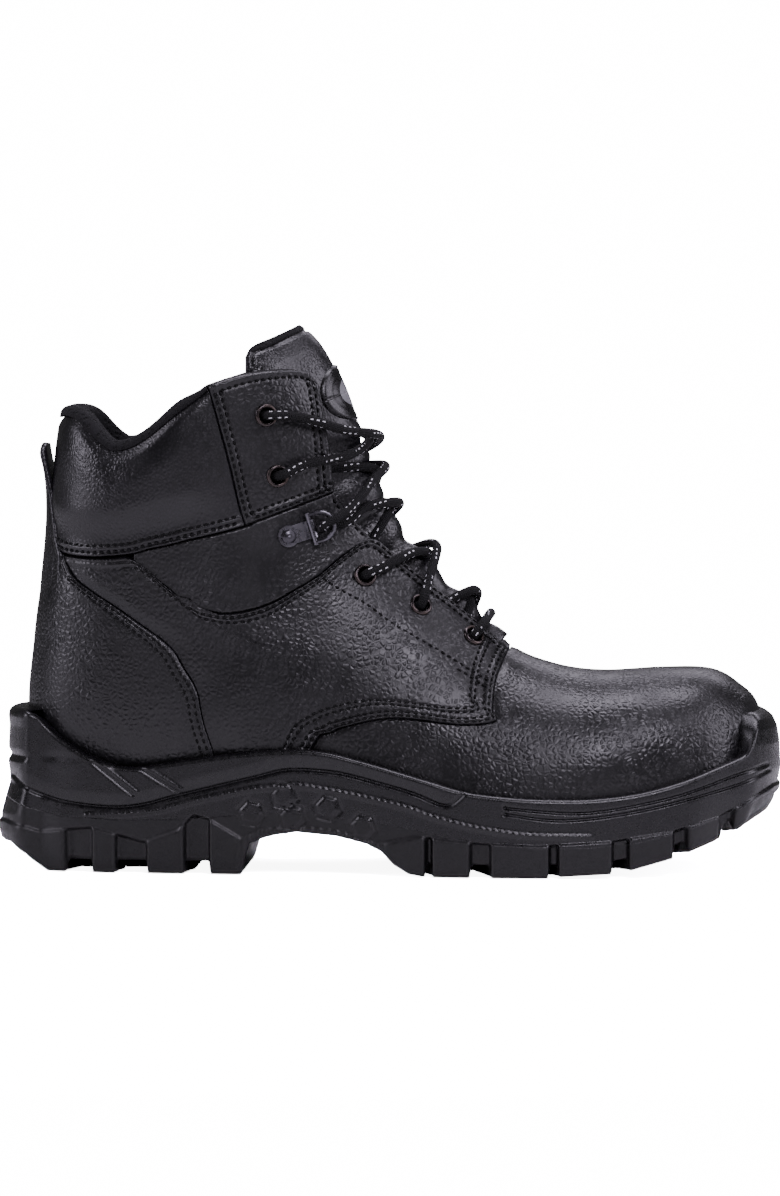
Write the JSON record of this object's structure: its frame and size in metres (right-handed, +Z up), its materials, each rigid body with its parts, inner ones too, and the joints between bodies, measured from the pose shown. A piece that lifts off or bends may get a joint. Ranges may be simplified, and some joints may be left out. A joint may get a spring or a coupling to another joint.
{
  "type": "safety work boot",
  "caption": "Ankle-height lace-up safety boot with a padded collar and tongue, hidden toe cap, lace rings, heel pull tab and a lugged cup sole.",
  "frame": {"origin": "centre of the footprint box on the ground", "axes": "+X towards the toe, +Y towards the medial side of a right foot, +Z up"},
  "size_m": [0.3066, 0.1136, 0.2176],
  "materials": {
    "outsole_rubber": "matte moulded",
    "sole_foam": "satin moulded",
    "steel": "plain steel",
    "board": "non-woven board",
    "footbed_fabric": "woven top cloth",
    "foam": "open-cell foam",
    "counter_board": "moulded counter",
    "leather": "pebbled full grain",
    "collar_leather": "smooth fine grain",
    "lining": "textile",
    "mesh_lining": "air mesh",
    "badge": "moulded",
    "gunmetal": "gunmetal plated",
    "lace_cord": "round braid",
    "aglet_plastic": "satin"
  },
  "bodies": {
    "boot": {"outsole": "outsole_rubber", "midsole": "sole_foam", "shank": "steel", "lasting_board": "board", "footbed": "footbed_fabric", "toe_cap": "steel", "cap_edge_strip": "foam", "heel_counter": "counter_board", "vamp": "leather", "vamp_lining": "lining", "quarter_lateral": "leather", "quarter_medial": "leather", "ankle_patch_lateral": "leather", "ankle_patch_medial": "leather", "eyelet_tab_lateral": "leather", "eyelet_tab_medial": "leather", "quarter_lining": "lining", "collar": "collar_leather", "collar_foam": "foam", "collar_lining": "mesh_lining", "backstay": "collar_leather", "eyelets_lateral": "gunmetal", "eyelets_medial": "gunmetal", "ring_clip_lateral": "gunmetal", "ring_clip_medial": "gunmetal", "clip_rivet_lateral": "gunmetal", "clip_rivet_medial": "gunmetal", "lace": "lace_cord", "aglets": "aglet_plastic"},
    "tongue_body": {"tongue": "collar_leather", "tongue_foam": "foam", "tongue_lining": "mesh_lining", "tongue_badge": "badge"},
    "pull_tab_body": {"pull_tab": "collar_leather"},
    "ring_lateral_body": {"lace_ring_lateral": "gunmetal"},
    "ring_medial_body": {"lace_ring_medial": "gunmetal"}
  },
  "joints": [
    {"name": "ring_lateral_hinge", "type": "hinge", "parent": "boot", "child": "ring_lateral_body", "pos_m": [-0.0318, -0.03312, 0.1365], "axis": [0.2951, 0.0592, -0.9536], "range_deg": [-3, 8]},
    {"name": "ring_medial_hinge", "type": "hinge", "parent": "boot", "child": "ring_medial_body", "pos_m": [-0.0318, 0.02781, 0.1365], "axis": [-0.2951, 0.0592, 0.9536], "range_deg": [-3, 8]},
    {"name": "tongue_hinge", "type": "hinge", "parent": "boot", "child": "tongue_body", "pos_m": [0.0434, -0.00265, 0.0905], "axis": [0, 1, 0], "range_deg": [-5, 0], "stiffness_Nm_per_rad": 2},
    {"name": "pull_tab_hinge", "type": "hinge", "parent": "boot", "child": "pull_tab_body", "pos_m": [-0.1418, -0.00265, 0.13], "axis": [0, -1, 0], "range_deg": [0, 40], "stiffness_Nm_per_rad": 0.05}
  ]
}
